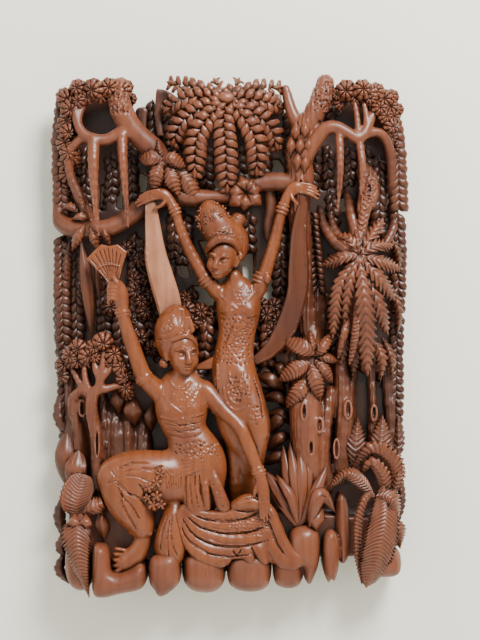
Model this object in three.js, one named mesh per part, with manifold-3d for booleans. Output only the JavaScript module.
// A carved wall panel: one thick board of hardwood, pierced and undercut into a forest scene with two
// dancers. The back is the board's own flat face, and hangs against a wall. Everything in front of it is
// one piece of wood.
//
// Units are millimetres. X runs to the right, Z runs up and Y runs from the front into the wall, which it
// meets at 0. The carving is laid out by [x, out, z], where out is the distance in front of the back face.
// A station of a limb adds its half width across and its half thickness front to back: [x, out, z, across,
// deep].

import * as THREE from "three";
import { mergeVertices } from "three/addons/utils/BufferGeometryUtils.js";
import Module from "manifold-3d";

// Driving dimensions
const WIDTH = 408; // the board that the panel is cut from
const HEIGHT = 604;
const DEPTH = 90;
const GROUND_THICKNESS = 20; // wood left standing at the back of the scene
const HEDGE_THICKNESS = 30; // the same, behind the dancers
const CURTAIN = 19; // where the leaves in the shade at the back lie
const SOIL_THICKNESS = 46; // the ledge that the stones and the dancers rest on
const LEAF_THICKNESS = 5; // how far a leaf's midrib stands over its edges
const FINEST_CUT = 2.6; // no edge of the relief is shorter
const LIMB_SIDES = 5;
const BODY_SIDES = 7;

const WOOD = new THREE.MeshStandardMaterial({ color: 0x8f5636, roughness: 0.48, metalness: 0 });

const wasm = await Module();
wasm.setup();

const carving = []; // every element of the relief, as a solid, before they are joined

const point = ([x, out, z]) => new THREE.Vector3(x, -out, z);

// Turns a closed geometry into a solid that can be joined and cut.
function solidOf(geometry) {
  const bare = new THREE.BufferGeometry();
  const loose = geometry.index ? geometry.toNonIndexed() : geometry;
  bare.setAttribute("position", loose.getAttribute("position"));
  const merged = mergeVertices(bare, 1e-3);
  return new wasm.Manifold(
    new wasm.Mesh({
      numProp: 3,
      vertProperties: merged.attributes.position.array,
      triVerts: new Uint32Array(merged.index.array),
    }),
  );
}

// Adds a closed geometry to the relief. One that came out facing inwards is turned round.
function carve(geometry) {
  let solid = solidOf(geometry);
  if (solid.volume() < 0) {
    const p = geometry.getAttribute("position").array;
    for (let i = 0; i < p.length; i += 9) {
      for (let k = 0; k < 3; k++) [p[i + 3 + k], p[i + 6 + k]] = [p[i + 6 + k], p[i + 3 + k]];
    }
    solid = solidOf(geometry);
  }
  carving.push(solid);
}

// A closed skin over rings of points. Neighbouring rings have the same count, or one of them is a single
// point.
function skin(rings) {
  const faces = [];
  for (let k = 0; k + 1 < rings.length; k++) {
    const [a, b] = [rings[k], rings[k + 1]];
    const count = Math.max(a.length, b.length);
    for (let i = 0; i < count; i++) {
      const j = (i + 1) % count;
      if (a.length > 1) faces.push(a[i], b[i % b.length], a[j]);
      if (b.length > 1) faces.push(a[j % a.length], b[i], b[j]);
    }
  }
  const [first, last] = [rings[0], rings[rings.length - 1]];
  for (let i = 1; i + 1 < first.length; i++) faces.push(first[0], first[i], first[i + 1]);
  for (let i = 1; i + 1 < last.length; i++) faces.push(last[0], last[i + 1], last[i]);
  const geometry = new THREE.BufferGeometry().setFromPoints(faces);
  return geometry;
}

// Unit sections as [across, deep] pairs, with deep negative towards the front.
const round = (sides) =>
  Array.from({ length: sides }, (_, i) => {
    const angle = (2 * Math.PI * (i + 0.5)) / sides;
    return [Math.cos(angle), Math.sin(angle)];
  });
const BLADE = [[-1, 0.3], [0, -1], [1, 0.3]]; // a leaf: a ridge along the front, and a thin edge
// cloth, or bark that lies on the board
const STRAP = [[-1, 0.7], [-1, -0.4], [0, -1], [1, -0.4], [1, 0.7]];

// Sweeps a section through stations [x, out, z, across, deep]. An end with no width is a point.
function sweep(stations, section = round(LIMB_SIDES)) {
  const centres = stations.map(point);
  const rings = stations.map(([, , , across, deep = across], k) => {
    if (across === 0) return [centres[k]];
    const before = centres[Math.max(k - 1, 0)];
    const after = centres[Math.min(k + 1, centres.length - 1)];
    const along = after.clone().sub(before).normalize();
    const back = new THREE.Vector3(0, 1, 0);
    back.addScaledVector(along, -back.dot(along)).normalize();
    const side = new THREE.Vector3().crossVectors(back, along);
    return section.map(([a, d]) =>
      centres[k].clone().addScaledVector(side, a * across).addScaledVector(back, d * deep),
    );
  });
  carve(skin(rings));
}

// An egg shape, for stones and hair.
function boulder([x, out, z], [across, deep, high]) {
  const egg = new THREE.SphereGeometry(1, 7, 4);
  egg.rotateX(Math.PI / 2);
  egg.scale(across, deep, high);
  egg.translate(x, -out, z);
  carve(egg);
}

const curveThrough = (points) => new THREE.CatmullRomCurve3(points.map(point), false, "centripetal");

const stationAt = (curve, t, across, deep) => {
  const p = curve.getPoint(t);
  return [p.x, -p.y, p.z, across, deep];
};

// A leaf that follows the curve through its points, from stalk to tip, with a raised midrib.
function leaf(points, halfWidth, thick = LEAF_THICKNESS) {
  const curve = curveThrough(points);
  const outline = [[0, 0.25], [0.3, 1], [0.68, 0.8], [1, 0]];
  sweep(outline.map(([t, w]) => stationAt(curve, t, w * halfWidth, w && thick * (0.5 + w / 2))), BLADE);
}

// A palm frond: leaflets one behind the other, each tucked under the one before it, so that its edge steps.
function frond(points, halfWidth, leaflets, thick = 7) {
  const curve = curveThrough(points);
  const stations = [];
  for (let i = 0; i < leaflets; i++) {
    const size = Math.sin(Math.PI * (0.32 + 0.5 * (i / leaflets)));
    stations.push(stationAt(curve, i / (leaflets + 0.8), halfWidth * size * 0.5, thick * 0.6));
    stations.push(stationAt(curve, (i + 0.9) / (leaflets + 0.8), halfWidth * size, thick * size));
  }
  stations.push(stationAt(curve, 1, 0));
  sweep(stations, BLADE);
}

// A round tuft of petal-shaped leaves that faces the front.
function rosette([x, out, z], radius, petals = 5) {
  const rim = Array.from({ length: 2 * petals }, (_, i) => {
    const angle = (Math.PI * (i + z)) / petals;
    const r = i % 2 ? radius * 0.76 : radius;
    return new THREE.Vector3(x + r * Math.cos(angle), -out, z + r * Math.sin(angle));
  });
  carve(skin([[new THREE.Vector3(x, -out - 3.5, z)], rim, [new THREE.Vector3(x, -out + radius, z)]]));
}

// A plate between two distances in front of the back face, as an outline of [x, z] points.
function plate(outline, from, to) {
  const shape = new THREE.Shape(outline.map(([x, z]) => new THREE.Vector2(x, z)));
  const slab = new THREE.ExtrudeGeometry(shape, { depth: to - from, bevelEnabled: false });
  slab.rotateX(Math.PI / 2);
  slab.translate(0, -from, 0);
  return slab;
}

// ----------------------------------------------------------------------------------------------------

// The board itself: what is left standing at the back, pierced where the wall shows between leaves and
// branches.
function backdrop() {
  const outline = [
    [-190, -268], [-194, -110], [-197, 60], [-197, 200], [-188, 268], [-172, 284], [-124, 286], [-113, 262],
    [-103, 274], [-98, 240], [-89, 236], [-87, 284], [60, 288], [66, 262], [92, 264], [112, 284],
    [172, 284],
    [190, 262], [198, 200], [198, 60], [194, -110], [192, -262], [100, -256], [-100, -272],
  ];
  const openings = [
    [[-108, 196], [-98, 190], [-99, 172], [-109, 172]],
    [[-135, 192], [-128, 192], [-128, 152], [-135, 152]],
    [[-154, 180], [-147, 180], [-147, 150], [-154, 150]],
    [[-43, 198], [-34, 194], [-29, 178], [-40, 176]],
    [[-20, 190], [-6, 190], [-6, 172], [-20, 172]],
    [[16, 209], [28, 209], [31, 186], [15, 184]],
    [[49, 209], [57, 212], [65, 200], [63, 186], [49, 186]],
    [[107, 185], [116, 185], [116, 174], [107, 174]],
    [[124, 181], [137, 177], [137, 148], [126, 148]],
    [[-37, 114], [-22, 114], [-4, 72], [-12, 60]],
    [[-46, 60], [-19, 60], [-19, 37], [-46, 37]],
    [[13, 102], [27, 102], [27, 62], [16, 66]],
    [[37, 78], [58, 78], [58, 36], [37, 36]],
    [[-66, 100], [-58, 100], [-47, 72], [-56, 72]],
  ];
  let ground = solidOf(plate(outline, 0, GROUND_THICKNESS));
  for (const opening of openings) ground = ground.subtract(solidOf(plate(opening, -1,
    GROUND_THICKNESS + 1)));
  carving.push(ground);
  // the ledge under the figures, deep enough to carry them
  const ledge = [[-184, -262], [184, -256], [186, -214], [60, -204], [-60, -198], [-186, -206]];
  carve(plate(ledge, 0, SOIL_THICKNESS));
  // the hedge behind the dancers
  const hedge = [[-60, 20], [-44, 36], [-8, 39], [40, 36], [70, 30], [70, -60], [-60, -60]];
  carve(plate(hedge, 0, HEDGE_THICKNESS));
}

// Strings of leaves in the shade at the back, and those that make the toothed edges of the board.
function hangingCurtain() {
  const curtain = [
    [-180, 228, 158, 11], [-120, 226, 150, 9], [-182, 112, 0, 13], [-152, 60, 0, 12], [-110, 120, -20, 13],
    [-84, 64, 26, 11], [-62, 152, 106, 11], [-24, 228, 168, 9], [6, 228, 168, 9], [40, 232, 180, 9],
    [64, 150, 44, 10], [97, 228, 176, 10], [140, 224, 184, 10], [170, 232, 128, 10], [118, 66, -6, 9],
  ];
  for (const [x, top, bottom, halfWidth] of curtain) {
    const leaflets = Math.max(2, Math.round((top - bottom) / 26));
    frond([[x, CURTAIN, top], [x, CURTAIN, (top + bottom) / 2],
      [x, CURTAIN, bottom]], halfWidth, leaflets, 9);
  }
  for (const side of [-1, 1]) {
    frond([[195 * side, 26, 286], [198 * side, 30, 150], [197 * side, 30, 20],
      [194 * side, 26, -120]], 9, 13, 16);
  }
}

// Trunks, boughs and aerial roots of the two big trees.
function bigTrees() {
  // left tree
  sweep([[-56, 34, 160, 12, 14], [-80, 42, 196, 14, 16], [-94, 50, 221, 13], [-113, 55, 241, 13],
    [-126, 56, 262, 12, 14], [-127, 52, 292, 11, 15]]);
  sweep([[-118, 62, 239, 8], [-138, 65, 230, 6], [-160, 66, 231, 6], [-176, 64, 246, 5],
    [-166, 54, 274, 4]]);
  sweep([[-166, 62, 232, 5], [-184, 58, 222, 5], [-190, 50, 200, 7], [-180, 50, 172, 7],
    [-165, 46, 142, 9]]);
  sweep([[-200, 26, 160, 6], [-197, 36, 138, 11], [-176, 46, 127, 12], [-142, 44, 132, 12],
    [-112, 42, 146, 12],
    [-70, 40, 172, 13]]);
  aerialRoot([[-157, 70, 232], [-157, 75, 200], [-155, 74, 160], [-152, 64, 121]], 5.5);
  aerialRoot([[-124, 66, 236], [-122, 74, 205], [-121, 73, 165], [-118, 58, 131]], 5);
  // the bough that links the trees, behind the raised hands
  sweep([[-80, 40, 170, 13], [-42, 44, 158, 12], [-12, 46, 160, 9], [14, 46, 170, 10], [48, 46, 180, 9],
    [80, 46, 176, 14]]);
  sweep([[46, 34, 176, 8], [48, 34, 140, 6], [44, 28, 112, 6]]);
  // right tree
  sweep([[92, 28, 20, 14], [84, 32, 100, 13], [84, 44, 168, 17], [80, 50, 200, 14], [84, 53, 232, 12],
    [96, 56, 256, 12], [110, 56, 280, 11, 13], [111, 54, 295, 9, 12]]);
  sweep([[84, 54, 238, 8], [72, 50, 262, 7], [64, 44, 290, 5]]);
  sweep([[86, 58, 205, 9], [98, 62, 228, 8], [114, 64, 244, 7], [134, 66, 238, 6], [150, 64, 231, 6],
    [163, 62, 250, 5], [168, 52, 276, 4]]);
  sweep([[150, 64, 231, 5], [176, 58, 238, 5], [187, 48, 216, 6], [190, 34, 170, 8]]);
  aerialRoot([[126, 66, 238], [127, 74, 205], [126, 73, 175], [125, 58, 146]], 5);
  aerialRoot([[150, 68, 230], [152, 74, 200], [152, 68, 172]], 4.5);
  // behind the lobed leaves
  sweep([[101, 24, 60, 10, 8], [104, 26, 0, 12, 10], [98, 26, -40, 14, 12]], STRAP);
}

function aerialRoot(points, radius) {
  sweep(points.map(([x, out, z], i) => [x, out, z, radius * (1 - 0.24 * i)]), round(5));
}

// The small tree beside the fan, and the shoots behind it.
function smallTree() {
  sweep([[-152, 40, -170, 8], [-156, 54, -110, 7], [-161, 58, -78, 7], [-150, 62, -50, 5],
    [-150, 60, -14, 4]]);
  sweep([[-160, 56, -66, 5], [-170, 56, -34, 3], [-184, 44, -24, 4]], round(4));
  sweep([[-156, 60, -60, 4], [-136, 60, -58, 3.5], [-124, 48, -50, 4]], round(4));
  sweep([[-163, 56, -66, 5], [-181, 48, -76, 6], [-178, 34, -130, 9]], round(4));
  const shoots = [[-190, -26, 8], [-132, -80, 14], [-104, -92, 16]];
  for (const [x, top, radius] of shoots) {
    sweep([[x, 20, top, radius * 0.7, 12], [x + 2, 24, top - 40, radius, 16],
      [x + 2, 22, -172, radius, 14]], STRAP);
  }
  treeTop([[-188, 46, -30], [-176, 54, -14], [-156, 60, -6], [-138, 62, -16], [-126, 58, -40],
    [-120, 48, -62]], 6, 12);
}

// Rosettes side by side along a curve, on the foliage that carries them.
function treeTop(points, count, radius) {
  sweep(points.map(([x, out, z]) => [x, out - 10, z, radius * 0.8, 13]), STRAP);
  const curve = curveThrough(points);
  for (let i = 0; i < count; i++) {
    const p = curve.getPoint(i / (count - 1));
    rosette([p.x, -p.y, p.z], radius);
  }
}

function cornerTreeTops() {
  treeTop([[-126, 60, 286], [-156, 66, 287], [-182, 60, 274], [-190, 56, 240], [-188, 48, 196]], 8, 13);
  treeTop([[134, 60, 285], [160, 64, 285], [182, 60, 268], [190, 52, 226], [193, 44, 176]], 8, 13);
  leaf([[-106, 16, 236], [-105, 30, 256], [-103, 20, 276]], 9, 12);
  leaf([[-76, 16, 222], [-78, 26, 258], [-74, 22, 290]], 12, 14);
  leaf([[74, 20, 240], [80, 30, 256], [70, 20, 268]], 11, 12);
}

// The palm: one heart, with fronds that spread and hang from it.
function palm() {
  sweep([[-4, 14, 268, 36, 14], [-4, 44, 272, 22, 12], [-4, 62, 278, 7, 6]]);
  const fronds = [
    [[-40, 58, 289], [-73, 46, 294], 10], [[-44, 62, 277], [-80, 44, 260], 10], [[-42, 66, 260],
      [-69, 50, 221], 9],
    [[-28, 70, 246], [-41, 58, 184], 9], [[-6, 74, 240], [-3, 62, 168], 9], [[20, 70, 246],
      [31, 58, 186], 9],
    [[36, 66, 257], [56, 52, 218], 9], [[34, 62, 274], [67, 46, 266], 10], [[30, 58, 287],
      [61, 46, 292], 10],
  ];
  for (const [middle, tip, halfWidth] of fronds) {
    frond([[-4, 62, 277], middle, tip], halfWidth, 4, 7);
  }
  for (const x of [-13, 4]) leaf([[-4, 58, 274], [x, 66, 288], [x * 1.2, 56, 301]], 6);
}

// Leaf clusters, as lists of leaves by stalk, middle and tip with a half width.
function leaves(list, thick) {
  for (const [stalk, middle, tip, halfWidth] of list) leaf([stalk, middle, tip], halfWidth, thick);
}

function upperFoliage() {
  // toothed leaves over the left hand
  boulder([-78, 48, 203], [9, 16, 9]);
  leaves([
    [[-80, 56, 206], [-82, 64, 217], [-83, 60, 229], 4],
    [[-79, 60, 205], [-91, 68, 208], [-103, 60, 206], 9],
    [[-78, 60, 205], [-66, 68, 208], [-53, 58, 199], 8],
    [[-80, 58, 204], [-86, 68, 188], [-88, 58, 170], 9],
    [[-76, 54, 202], [-70, 64, 184], [-66, 54, 162], 9],
    [[-66, 48, 196], [-50, 58, 180], [-38, 50, 157], 11],
  ], 6);
  // buds and leaves on the left bough
  leaves([
    [[-182, 52, 138], [-173, 60, 140], [-163, 54, 138], 8],
    [[-168, 54, 130], [-176, 60, 117], [-183, 50, 101], 7],
    [[-160, 54, 130], [-154, 60, 118], [-150, 50, 102], 9],
  ], 7);
  // blossom over the crown of the standing dancer
  for (const [x, z] of [[4, 170], [24, 181], [8, 156], [22, 154], [34, 160]]) {
    leaf([[20, 48, 169], [(x + 20) / 2, 58, (z + 169) / 2], [x - 1, 50, z]], 7, 6);
  }
  // leaf scars on the right trunk
  leaves([
    [[80, 56, 240], [76, 64, 226], [72, 56, 212], 7],
    [[88, 56, 244], [88, 66, 228], [90, 54, 212], 7],
    [[82, 56, 220], [79, 66, 206], [77, 56, 190], 7],
  ]);
}

// The plant with lobed leaves on the right, its flower cones and the stems behind it.
function lobedPlant() {
  const [x, out, z] = [149, 68, 95];
  sweep([[x, 14, 140, 12, 12], [x, 40, 104, 24, 34], [x + 4, 40, 44, 26, 30], [x + 8, 24, -30, 18, 14]]);
  const blades = [
    [[132, 76, 106], [120, 60, 120], 7], [[147, 76, 110], [144, 66, 124], 5], [[128, 76, 90],
      [107, 60, 84], 9],
    [[126, 74, 56], [118, 60, 0], 9], [[138, 78, 56], [132, 66, 14], 7], [[157, 80, 30],
      [160, 56, -46], 14],
    [[171, 74, 34], [186, 52, 2], 10], [[174, 74, 66], [193, 52, 42], 10], [[176, 72, 88],
      [197, 50, 80], 10],
    [[170, 72, 106], [190, 50, 112], 11], [[164, 64, 118], [181, 44, 142], 9],
  ];
  for (const [middle, tip, halfWidth] of blades) leaf([[x, out, z], middle, tip], halfWidth, 7);
  leaves([
    [[164, 32, 0], [180, 48, -26], [187, 36, -50], 9],
    [[140, 30, 6], [130, 46, -24], [127, 36, -44], 8],
  ], 8);
  // ribbed cones that hang between the leaves
  sweep([[148, 66, 46, 3], [147, 76, 16, 5], [139, 60, -29, 2]], round(4));
  sweep([[136, 62, 20, 3], [131, 68, 0, 4.5], [126, 50, -23, 2]], round(4));
  // flower cone and stems over the heart
  sweep([[161, 12, 196, 6], [162, 44, 180, 10], [158, 48, 154, 9], [151, 54, 116, 5]]);
  sweep([[138, 14, 172, 4], [142, 42, 140, 6], [150, 54, 104, 5]], round(4));
  sweep([[106, 14, 156, 4], [112, 36, 126, 5], [136, 50, 96, 6]], round(4));
  // string of slanted leaves beside the sash
  frond([[94, 28, 152], [97, 34, 104], [106, 28, 54]], 9, 4, 10);
}

// Trunks, leaf clusters and stiff blades of the lower right.
function lowerRight() {
  sweep([[94, 34, -4, 12, 18], [88, 42, -60, 20, 20], [90, 42, -120, 22, 20], [98, 32, -176, 20, 16]]);
  sweep([[133, 22, -16, 13, 16], [134, 30, -80, 13, 16], [130, 28, -150, 14, 16]], STRAP);
  sweep([[168, 20, -30, 6, 12], [168, 26, -90, 6, 14], [170, 24, -150, 9, 12]], STRAP);
  leaves([
    [[96, 52, -22], [94, 64, -8], [94, 56, 7], 5],
    [[96, 52, -22], [107, 64, -10], [118, 52, 4], 6],
    [[96, 54, -20], [82, 66, -12], [65, 52, -4], 10],
    [[92, 54, -30], [77, 66, -38], [59, 54, -50], 9],
    [[90, 54, -46], [78, 66, -62], [66, 52, -82], 9],
    [[92, 54, -30], [98, 68, -50], [105, 54, -72], 9],
    [[98, 52, -26], [110, 62, -38], [118, 50, -52], 7],
  ]);
  // curved straps beside the dancer's skirt
  const straps = [[46, -34, 66, -60], [38, -62, 66, -84], [45, -112, 66, -96], [42, -150, 70, -128]];
  for (const [x, z, endX, endZ] of straps) {
    leaf([[x, 18, z], [(x + endX) / 2 + 4, 36, (z + endZ) / 2 + 8], [endX + 4, 18, endZ]], 8, 9);
  }
  // stiff plant
  const blades = [
    [[62, 58, -194], [47, 48, -182], 7], [[60, 58, -184], [41, 44, -156], 9], [[68, 56, -168],
      [61, 42, -128], 7],
    [[75, 60, -164], [71, 46, -123], 7], [[84, 62, -164], [84, 46, -121], 8], [[96, 62, -184],
      [115, 48, -148], 8],
    [[104, 72, -184], [120, 56, -206], 9],
  ];
  for (const [middle, tip, halfWidth] of blades) leaf([[80, 56, -222], middle, tip], halfWidth, 7);
}

// Toothed fern leaves and stones of the bottom right corner.
function ferns() {
  boulder([158, 30, -190], [34, 32, 60]);
  leaves([
    [[146, 32, -152], [148, 42, -124], [150, 34, -96], 13],
    [[172, 32, -152], [175, 44, -122], [178, 34, -93], 14],
    [[196, 20, -150], [198, 30, -120], [198, 22, -84], 9],
    [[172, 46, -170], [140, 62, -148], [114, 44, -180], 9],
    [[194, 36, -186], [178, 56, -132], [146, 40, -156], 10],
    [[190, 46, -180], [172, 64, -148], [150, 50, -168], 8],
    [[152, 54, -176], [144, 74, -216], [152, 60, -286], 11],
    [[168, 62, -176], [166, 80, -222], [156, 60, -287], 16],
    [[162, 62, -186], [188, 74, -184], [194, 62, -214], 13],
    [[184, 50, -204], [198, 58, -222], [196, 50, -246], 11],
  ], 8);
  boulder([182, 46, -258], [22, 38, 22]);
}

// Stones that the dancers rest on.
function stones() {
  boulder([-130, 46, -282], [36, 42, 18]);
  boulder([-176, 40, -266], [19, 38, 30]);
  boulder([-30, 46, -274], [28, 40, 24]);
  boulder([23, 46, -274], [27, 40, 23]);
  boulder([68, 48, -274], [19, 38, 20]);
  boulder([86, 50, -236], [23, 34, 22]);
  boulder([116, 42, -242], [16, 34, 24]);
  sweep([[-75, 46, -254, 19, 36], [-76, 46, -276, 19, 36], [-82, 48, -302, 2, 8]]);
  sweep([[90, 50, -244, 12, 22], [92, 52, -268, 9, 14], [92, 52, -289, 2, 5]]);
  sweep([[117, 44, -250, 12, 22], [118, 46, -268, 8, 14], [117, 46, -288, 2, 5]]);
  sweep([[-148, 40, -205, 11, 18], [-148, 46, -244, 11, 14], [-142, 48, -276, 14, 16]]);
}

// Smooth and toothed leaves of the bottom left corner.
function lowerLeft() {
  leaves([
    [[-190, 26, -186], [-192, 40, -150], [-192, 30, -112], 13],
    [[-182, 34, -200], [-180, 50, -170], [-178, 40, -136], 13],
    [[-196, 30, -226], [-176, 56, -196], [-156, 48, -164], 15],
    [[-172, 50, -214], [-154, 64, -198], [-136, 52, -186], 11],
    [[-176, 60, -208], [-174, 78, -246], [-163, 62, -303], 13],
    [[-198, 24, -280], [-194, 36, -240], [-196, 24, -196], 9],
  ], 8);
  boulder([-150, 36, -222], [12, 26, 20]);
}

// One hand with its fingers together, from the wrist over the knuckles to the finger tips, and a thumb.
function hand(wrist, knuckles, tips, spread, thumb) {
  sweep([[...wrist, 5.5, 5], [...knuckles, spread, 4.5], [...tips, spread * 0.75, 2.5]]);
  sweep([[...wrist, 3], [...thumb, 2]], round(4));
}

// The dancer who stands behind, both arms raised, holding the ends of a sash.
function standingDancer() {
  const body = round(BODY_SIDES);
  // neck, shoulders, waist, hips and the wrapped skirt down to the knees
  sweep([[8, 50, 66, 6.5, 7], [9, 49, 56, 13, 9], [10, 50, 40, 23, 15], [10, 51, 26, 21, 15],
    [6, 50, -8, 18.5, 13],
    [4, 52, -36, 21.5, 16], [9, 55, -72, 27, 19], [15, 55, -104, 28, 19], [17, 46, -138, 16, 14],
    [18, 30, -186, 13, 12]], body);
  // head, bowed to the left, with its nose
  sweep([[-2, 65, 72, 5, 5], [-4, 64, 80, 12, 13], [-7, 62, 93, 17, 18], [-10, 60, 110, 15, 16],
    [-12, 56, 120, 8, 9]],
    body);
  sweep([[7, 50, 60, 7], [2, 56, 78, 6.5]]);
  leaf([[-10, 78, 97], [-11, 84, 88], [-10, 78, 83]], 3, 3);
  // hair, bun and crown
  sweep([[14, 46, 94, 5, 8], [8, 48, 106, 14, 14], [-6, 52, 118, 19, 17], [-18, 56, 130, 19, 16],
    [-24, 56, 146, 14, 12], [-27, 54, 154, 6, 6]], body);
  boulder([9, 44, 137], [9, 9, 9]);
  // arms
  sweep([[-8, 49, 44, 9], [-34, 53, 78, 7.5], [-47, 56, 101, 6.5], [-57, 58, 125, 5.5], [-64, 60, 152, 6]]);
  sweep([[30, 49, 48, 9], [46, 54, 90, 7], [53, 57, 114, 6.5], [62, 60, 156, 5.5]]);
  hand([-65, 60, 150], [-80, 62, 165], [-108, 60, 155], 7, [-80, 60, 146]);
  hand([62, 60, 155], [78, 62, 174], [104, 60, 165], 7, [76, 58, 156]);
}

// The sash of the standing dancer hangs from the raised hands in two flat lengths.
function sash() {
  sweep([[-93, 54, 155, 7, 4], [-88, 55, 110, 10, 4], [-82, 55, 74, 12, 4], [-70, 54, 32, 12, 4],
    [-62, 50, 4, 10, 4]],
    STRAP);
  sweep([[84, 54, 162, 5, 4], [80, 55, 112, 9, 4], [80, 55, 70, 11, 4], [74, 52, 26, 11, 4],
    [56, 48, -10, 11, 4],
    [22, 46, -29, 4, 4]], STRAP);
  leaf([[0, 52, -30], [-22, 56, -30], [-42, 50, -26]], 9, 6);
}

// The dancer who half kneels in front, with a fan in the raised hand and the other arm down.
function kneelingDancer() {
  const body = round(BODY_SIDES);
  // neck, shoulders, waist and hips
  sweep([[-55, 66, -36, 8, 8], [-57, 62, -54, 9, 9], [-57, 60, -62, 22, 11], [-56, 60, -70, 29, 14],
    [-56, 62, -86, 26, 17],
    [-54, 61, -98, 22, 15], [-50, 60, -112, 19, 12], [-43, 61, -130, 25, 16], [-38, 62, -150, 30, 19],
    [-38, 56, -194, 28, 18]], body);
  // head, turned to the right, with its nose
  sweep([[-50, 72, -45, 6, 6], [-52, 70, -36, 14, 14], [-55, 68, -18, 18, 18],
    [-58, 66, -2, 18, 17]], body);
  leaf([[-49, 83, -14], [-46, 88, -27], [-48, 82, -32]], 3, 3);
  // headdress, with the flower at the ear
  sweep([[-70, 58, -16, 14, 14], [-65, 61, -6, 22, 20], [-64, 62, 10, 23, 19], [-62, 62, 22, 18, 15],
    [-57, 64, 37, 4, 5]], body);
  leaf([[-56, 74, 2], [-54, 82, 14], [-53, 68, 34]], 8);
  boulder([-74, 64, -29], [8, 8, 7]);
  // raised arm and the hand that holds the fan
  sweep([[-74, 58, -68, 12], [-89, 61, -59, 10], [-100, 65, -46, 8.5], [-112, 68, -14, 7.5],
    [-122, 71, 26, 6.5],
    [-124, 72, 38, 7]]);
  sweep([[-123, 72, 34, 7, 6], [-128, 74, 46, 12, 7], [-134, 76, 58, 13, 7], [-134, 76, 68, 5, 5]]);
  const fan = [[-134, 54], [-126, 72], [-119, 98], [-129, 107], [-148, 107], [-165, 91], [-144, 68]];
  carve(plate(fan, 72, 78));
  // lowered arm
  sweep([[-40, 58, -64, 12], [-26, 61, -66, 10.5], [-10, 65, -84, 9], [14, 70, -105, 8.5],
    [24, 74, -128, 7.5],
    [34, 77, -156, 6.5]]);
  hand([34, 77, -152], [38, 79, -180], [42, 76, -210], 7, [30, 72, -184]);
  // raised thigh, knee, shin and foot
  sweep([[-44, 56, -168, 26, 18], [-76, 62, -166, 29, 21], [-110, 66, -162, 27, 21],
    [-136, 66, -164, 19, 17],
    [-150, 64, -168, 7, 8]], body);
  sweep([[-130, 64, -156, 20, 16], [-121, 66, -184, 25, 18], [-108, 64, -208, 17, 15],
    [-99, 62, -226, 10, 10]],
    body);
  sweep([[-98, 58, -220, 9], [-104, 60, -242, 12, 9], [-118, 62, -260, 14, 8], [-132, 62, -266, 10, 5]]);
  // the other leg, folded under its cloth
  sweep([[-60, 54, -190, 20, 18], [-67, 62, -222, 18, 18], [-68, 62, -246, 17, 18],
    [-70, 56, -264, 9, 10]], body);
  rosette([-88, 82, -164], 12);
  rosette([-84, 82, -188], 12);
  // hanging end of the belt
  sweep([[-22, 76, -150, 7, 4], [-14, 79, -176, 7, 4], [-8, 76, -202, 8, 5]], STRAP);
}

// The train of the kneeling dancer's skirt: folds that fan out from the hip and run down over the stones.
function train() {
  const folds = [
    [[-28, 74, -203], [0, 76, -204], [34, 70, -192]], [[-26, 76, -213], [4, 79, -217], [44, 72, -206]],
    [[-30, 76, -224], [2, 80, -230], [50, 72, -222]], [[-36, 76, -234], [-6, 80, -244], [44, 74, -244]],
    [[-44, 74, -242], [-22, 78, -256], [10, 72, -254]],
  ];
  for (const stations of folds) {
    sweep([[-58, 66, -198, 4, 6], ...stations.map((station, i) => [...station, 7 + 2 * i, 8])], round(5));
  }
  sweep([[38, 62, -190, 10, 14], [46, 68, -216, 16, 16], [54, 66, -240, 18, 16], [68, 60, -262, 12, 12],
    [82, 56, -266, 4, 6]], round(LIMB_SIDES));
}

// ----------------------------------------------------------------------------------------------------

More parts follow.
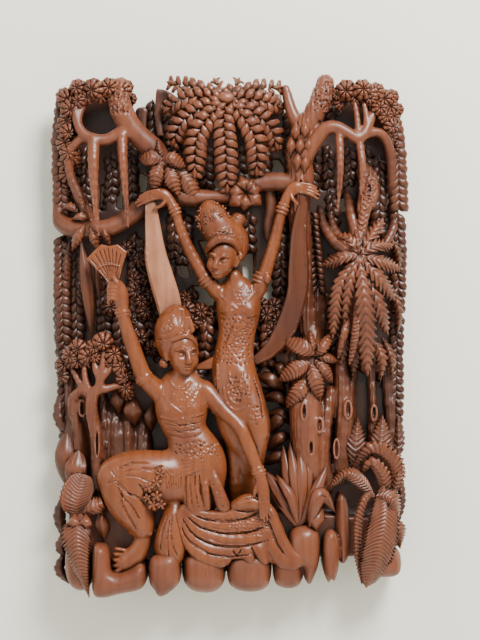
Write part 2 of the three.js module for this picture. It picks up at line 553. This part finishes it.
// Closes up the slivers that the joins leave. An edge shorter than the finest cut shrinks to one of its
// ends, where every face around it goes on looking the same way and the back face stays flat.
function closeSlivers(points, faces, finest) {
  const around = points.map(() => new Set());
  faces.forEach((face, f) => face.forEach((v) => around[v].add(f)));
  const ring = (v) => new Set([...around[v]].flatMap((f) => faces[f]).filter((w) => w !== v));
  const normal = (face) => {
    const [a, b, c] = face.map((v) => points[v]);
    return b.clone().sub(a).cross(c.clone().sub(a));
  };
  const mayMove = (from, to) => {
    if (Math.abs(points[from].y) < 1e-6 && Math.abs(points[to].y) > 1e-6) return false;
    const shared = [...ring(from)].filter((v) => ring(to).has(v));
    if (shared.length !== 2) return false;
    return [...around[from]].every((f) => {
      if (faces[f].includes(to)) return true;
      const before = normal(faces[f]);
      const after = normal(faces[f].map((v) => (v === from ? to : v)));
      return after.length() > 0.02 && before.dot(after) > 0.6 * before.length() * after.length();
    });
  };
  let closed = true;
  while (closed) {
    closed = false;
    const edges = new Map();
    faces.forEach((face, f) => {
      if (!face.length) return;
      for (let k = 0; k < 3; k++) {
        const [a, b] = [face[k], face[(k + 1) % 3]];
        const length = points[a].distanceTo(points[b]);
        if (a < b && length < finest) edges.set(`${a} ${b}`, [a, b, length]);
      }
    });
    for (const [a, b] of [...edges.values()].sort((one, other) => one[2] - other[2])) {
      if (!around[a].size || !around[b].size || !ring(a).has(b)) continue;
      const [from, to] = mayMove(a, b) ? [a, b] : [b, a];
      if (!mayMove(from, to)) continue;
      for (const f of around[from]) {
        if (faces[f].includes(to)) {
          for (const v of faces[f]) if (v !== from) around[v].delete(f);
          faces[f] = [];
        } else {
          faces[f] = faces[f].map((v) => (v === from ? to : v));
          around[to].add(f);
        }
      }
      around[from].clear();
      closed = true;
    }
  }
  return faces;
}

backdrop();
hangingCurtain();
bigTrees();
smallTree();
cornerTreeTops();
palm();
upperFoliage();
lobedPlant();
lowerRight();
ferns();
stones();
lowerLeft();
standingDancer();
sash();
kneelingDancer();
train();

// Everything is one board: join the elements, then cut them to the board's faces.
const block = new THREE.BoxGeometry(WIDTH, DEPTH, HEIGHT);
block.translate(0, -DEPTH / 2, 0);
const joined = wasm.Manifold.union(carving).intersect(solidOf(block));

// The largest shell is the outside of the board. It leaves out any pocket that leaves seal between them.
const shells = joined.decompose().sort((a, b) => b.volume() - a.volume());
const cut = shells[0].getMesh();
const corners = Array.from({ length: cut.numVert }, (_, i) =>
  new THREE.Vector3().fromArray(cut.vertProperties, i * cut.numProp),
);
const facets = Array.from({ length: cut.numTri }, (_, i) => [...cut.triVerts.subarray(3 * i, 3 * i + 3)]);
const relief = new THREE.BufferGeometry().setFromPoints(corners);
relief.setIndex(closeSlivers(corners, facets, FINEST_CUT).flat());
relief.computeVertexNormals();

const panel = new THREE.Mesh(relief, WOOD);
panel.name = "carved_panel";

const group = new THREE.Group();
group.add(panel);
export default group;
